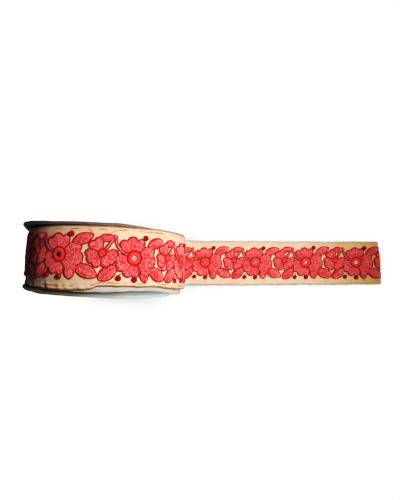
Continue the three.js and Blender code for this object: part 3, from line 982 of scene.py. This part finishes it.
def floralRepeat():
    work = {"grains": [], "pads": []}
    addFlower(work, smallFlower)
    addEye(work, smallFlower, smallEye)
    addFlower(work, largeFlower)
    addEye(work, largeFlower, mirrorRing)
    for leaf in leaves:
        addLeaf(work, shifted(leaf))
    for path in stems:
        addStem(work, path)
    for berry in berries:
        addBerry(work, shifted(berry))
    return work


def cutAway(points, faces, line, side, slant):
    # What lies past the line, on that side, is cut off and the cut closed
    form = bmesh.new()
    verts = [form.verts.new(point) for point in points]
    for face in faces:
        form.faces.new([verts[i] for i in face])
    everything = form.verts[:] + form.edges[:] + form.faces[:]
    bmesh.ops.bisect_plane(form, geom=everything, dist=1e-4, plane_co=(line, 0, 0),
                           plane_no=(side, side * slant, 0), clear_outer=True)
    bmesh.ops.holes_fill(form, edges=[edge for edge in form.edges if edge.is_boundary])
    return asArrays(form)


def grainBodies(rows):
    u, v, level, heading, length, width, height, _, dip = rows.T[..., None]
    x, y, z = grainPoints.T
    along, aside = x * length / 2, y * width / 2
    rise = (z - dip * x ** 2) * height / 2
    cos, sin = np.cos(heading), np.sin(heading)
    return np.stack([u + along * cos - aside * sin, v + along * sin + aside * cos, level + rise], axis=-1)


# The trim was fed unevenly under the needles, so the repeats lie up to 1 mm off
feed = ((-400, 0), (-60, -0.4), (-22, -0.9), (8, 0.3), (37, 1.1), (75, 0.3), (155, 0.6), (214, 0.2), (262, 0),
        (400, 0))


def fed(s):
    return s + between(feed, s)


def sewOn(name, at, work, replaced):
    low, high, slant = stitchedFrom - at, stitchedTo - at, trim["endSlant"]
    parts = []
    for finish, rows in work["grains"]:
        reach = rows[:, 4] / 2
        rows = rows[(rows[:, 0] - reach > low) & (rows[:, 0] + reach + slant * rows[:, 1] < high)]
        starts = np.arange(len(rows))[:, None, None] * len(grainPoints)
        parts.append((grainBodies(rows).reshape(-1, 3), (grainFaces + starts).reshape(-1, 3),
                      np.repeat(rows[:, 7], len(grainPoints)), finish))
    for finish, spread, sides in work["pads"]:
        for line, side, askew in ((low, -1, 0), (high, 1, slant)):
            if len(sides) and ((spread[:, 0] + askew * spread[:, 1]) * side > line * side).any():
                spread, sides = cutAway(spread, sides, line, side, askew)
        if len(sides):
            parts.append((spread, sides, np.zeros(len(spread)), finish))
    points, faces, tones, finishes = zip(*parts)
    starts = np.cumsum([0] + [len(part) for part in points])
    u, v, h = np.vstack(points).T
    s = fed(at + u)
    mesh = bpy.data.meshes.new(name)
    mesh.from_pydata(trimPoints(s, v, h + clothLift(s, v)).tolist(), [],
                     np.vstack([part + start for part, start in zip(faces, starts)]).tolist())
    finishes = np.repeat(finishes, [len(part) for part in faces])
    mesh.polygons.foreach_set("material_index", finishes.astype(np.int32))
    mesh.shade_smooth()
    tone = mesh.attributes.new("tone", "FLOAT", "POINT")
    tone.data.foreach_set("value", np.concatenate(tones).astype(np.float32))
    addPiece(name, mesh, threadMaterials, replaced)


# Ends of thread left loose on two of the repeats
looseThreads = {
    0: [[(23.4, 20.6), (25.0, 19.2), (26.4, 17.2)]],
    1: [[(-19.5, 18.3), (-17.2, 20.3), (-13.5, 21.7), (-8.5, 22.4)]],
}
looseThread = {"level": 0.45, "scale": 0.5, "tone": 0.3}
firstRepeat, lastRepeat = -5, 8
for repeat in range(firstRepeat, lastRepeat + 1):
    number = f"{repeat - firstRepeat + 1:02d}"
    flowerAt = trim["firstFlower"] + repeat * trim["repeat"]
    work = floralRepeat()
    for path in looseThreads.get(repeat, []):
        addCord(work, path, finish=fill, **looseThread)
    sewOn("stitching" + number, flowerAt, work, ["embroidery_" + number])
print("stitching made")


# Mirrors, held down by the rings of stitches round them
mirrors = {"radius": 2.75, "seat": 0.35, "glass": 0.6, "rounded": 0.9, "dome": 0.1, "tip": 0.05, "edge": (0.3, 0.9)}


def addMirror(name, at, replaced):
    x, y, share = discPad[0].T
    tipU, tipV = rng.normal(0, mirrors["tip"], 2)
    low, high = mirrors["edge"]  # heights of the padding's form, between which its points are the edge's
    face, edge = share > high, (share > low) & (share < high)
    level = mirrors["seat"] + face * (mirrors["glass"] + mirrors["dome"] * (1 - x * x - y * y))
    level = level + edge * mirrors["glass"] * mirrors["rounded"] + (tipU * x + tipV * y) * mirrors["radius"]
    placed = trimPoints(fed(at + x * mirrors["radius"]), y * mirrors["radius"], level)
    mesh = bpy.data.meshes.new(name)
    mesh.from_pydata(placed.tolist(), [], discPad[1].tolist())
    mesh.shade_smooth()
    addPiece(name, mesh, [glassMaterial], replaced)


for repeat in range(firstRepeat, lastRepeat):
    number = f"{repeat - firstRepeat + 1:02d}"
    addMirror("mirrorGlass" + number, trim["firstFlower"] + repeat * trim["repeat"], ["mirror_" + number])
print("mirrors made")


# Floor and light
studio = {
    "keyAim": (-0.05, 0.0, 0.08),
    "keyWay": (0.64, 0.22, 0.70),
    "keyFar": 1.3,
    "keyPower": 77.0, "keyCone": 28.0, "keySoft": 0.08,
    "overPlace": (0.06, 0.10, 1.2),
    "overAim": (0.03, 0.0, 0.0),
    "overPower": 14.8, "overCone": 16.5,
    "frontPower": 2.4, "backPower": 1.4, "sideSize": 0.7, "sideFar": 1.1, "sideHeight": 0.32,
    "sky": 0.03,
    "mirroredSky": (-0.75, 0.75, 0.02, 0.95),  # from the dark left of the room to its bright right
    "paper": {"Base Color": "#8A8A8A", "Roughness": 0.9},
    "floorHalf": 3.0,
    "floorGlow": 0.985,
    "contactReach": 0.027,
    "contactShade": (0.55, 0.99, 0.3, 1.02),  # where the floor is closed in, and where it is open
    # The camera's own curve, which deepens shades and evens out what is bright
    "curve": ((0.1, 0.06), (0.36, 0.43), (0.7, 0.78)),
}


def addLight(name, kind, place, aim, power, **settings):
    data = bpy.data.lights.new(name, kind)
    data.energy = power
    for key, value in settings.items():
        setattr(data, key, value)
    item = bpy.data.objects.new(name, data)
    scene.collection.objects.link(item)
    item.location = place
    item.rotation_euler = (Vector(aim) - Vector(place)).to_track_quat("-Z", "Y").to_euler()
    item.visible_glossy = False  # the mirrors show the room, not the lamps


def makeFloor():
    form = bmesh.new()
    bmesh.ops.create_grid(form, x_segments=1, y_segments=1, size=studio["floorHalf"])
    floor = bpy.data.objects.new("floor", asMesh("floor", form))
    scene.collection.objects.link(floor)
    # Matt grey paper to the light that it passes on; where the camera sees it, it glows white,
    # with a painted contact shadow where it is closed in, so that only a faint shadow shows on it
    material, shader, add = startMaterial("studioPaper", studio["paper"])
    unshaded = add("AmbientOcclusion", {"Distance": studio["contactReach"]}, samples=8)["AO"]
    strength = add("MapRange", (unshaded, *studio["contactShade"]), **smooth)[0]
    glow = add("Emission", {"Color": "#FFFFFF", "Strength": strength})[0]
    seen = add("LightPath")["Is Camera Ray"]
    share = add("Math", (seen, studio["floorGlow"]), operation="MULTIPLY")[0]
    mix = add("MixShader", (share, shader.outputs[0], glow))[0]
    setInputs(material.node_tree.nodes["Material Output"], {"Surface": mix})
    floor.data.materials.append(material)


def makeSky():
    # White where the camera sees it, dim as a light, and brighter to the right in the mirrors
    world = bpy.data.worlds.new("studio")
    scene.world = world
    world.use_nodes = True
    add = partial(addNode, world.node_tree)
    rays = add("LightPath")
    sideways = add("SeparateXYZ", (add("TexCoord")["Generated"],))[0]
    mirrored = add("MapRange", (sideways, *studio["mirroredSky"]), **smooth)[0]
    mirrored = add("Math", (rays["Is Glossy Ray"], mirrored), operation="MULTIPLY")[0]
    lit = add("Math", (mirrored, studio["sky"]), operation="MAXIMUM")[0]
    strength = add("Math", (lit, rays["Is Camera Ray"]), operation="MAXIMUM")[0]
    setInputs(world.node_tree.nodes["Background"], {"Color": "#FFFFFF", "Strength": strength})


makeFloor()
makeSky()
aim = Vector(studio["keyAim"])
addLight("key", "SPOT", aim + Vector(studio["keyWay"]).normalized() * studio["keyFar"], aim, studio["keyPower"],
         spot_size=math.radians(studio["keyCone"]), spot_blend=1.0, shadow_soft_size=studio["keySoft"])
addLight("over", "SPOT", studio["overPlace"], studio["overAim"], studio["overPower"],
         spot_size=math.radians(studio["overCone"]), spot_blend=1.0, shadow_soft_size=studio["keySoft"])
for name, side in (("front", -1), ("back", 1)):
    addLight(name + "Fill", "AREA", (aim.x, side * studio["sideFar"], studio["sideHeight"]), aim,
             studio[name + "Power"], size=studio["sideSize"])
view = scene.view_settings
view.view_transform = "Standard"
view.use_curve_mapping = True
for x, y in studio["curve"]:
    view.curve_mapping.curves[3].points.new(x, y)  # the combined curve
view.curve_mapping.update()
print("studio made")
